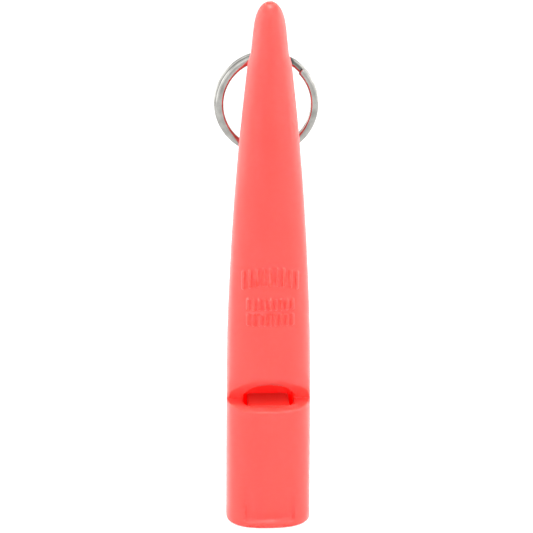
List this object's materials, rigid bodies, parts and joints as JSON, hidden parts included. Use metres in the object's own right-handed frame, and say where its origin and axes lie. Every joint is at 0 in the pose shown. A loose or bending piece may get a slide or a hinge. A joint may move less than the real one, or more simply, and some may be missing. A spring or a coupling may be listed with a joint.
{
  "type": "training whistle",
  "caption": "Slim tapered plastic training whistle with a front sound window, a lug at the back of its tip and a steel split ring that swings in the lug",
  "frame": {"origin": "centre of the flat mouth end, where the whistle stands when it is set upright", "axes": "+Z runs from the mouth end to the tip, -Y is the front with the sound window, +Y is the back with the lug and ring, +X completes the right-handed frame"},
  "size_m": [0.0159, 0.0134, 0.082],
  "materials": {
    "body_plastic": "coral red moulded plastic, glossy, slightly translucent",
    "block_plastic": "coral red moulded plastic, glossy, glued in",
    "ring_steel": "nickel-plated flattened steel wire, bright, fine scratches"
  },
  "bodies": {
    "whistle": {"whistle_body": "body_plastic", "fipple_block": "block_plastic"},
    "ring": {"split_ring": "ring_steel"}
  },
  "joints": [
    {"name": "ring_swing", "type": "hinge", "parent": "whistle", "child": "ring", "pos_m": [0, 0.005, 0.0734], "axis": [1, 0, 0], "range_deg": [0, 316]}
  ]
}
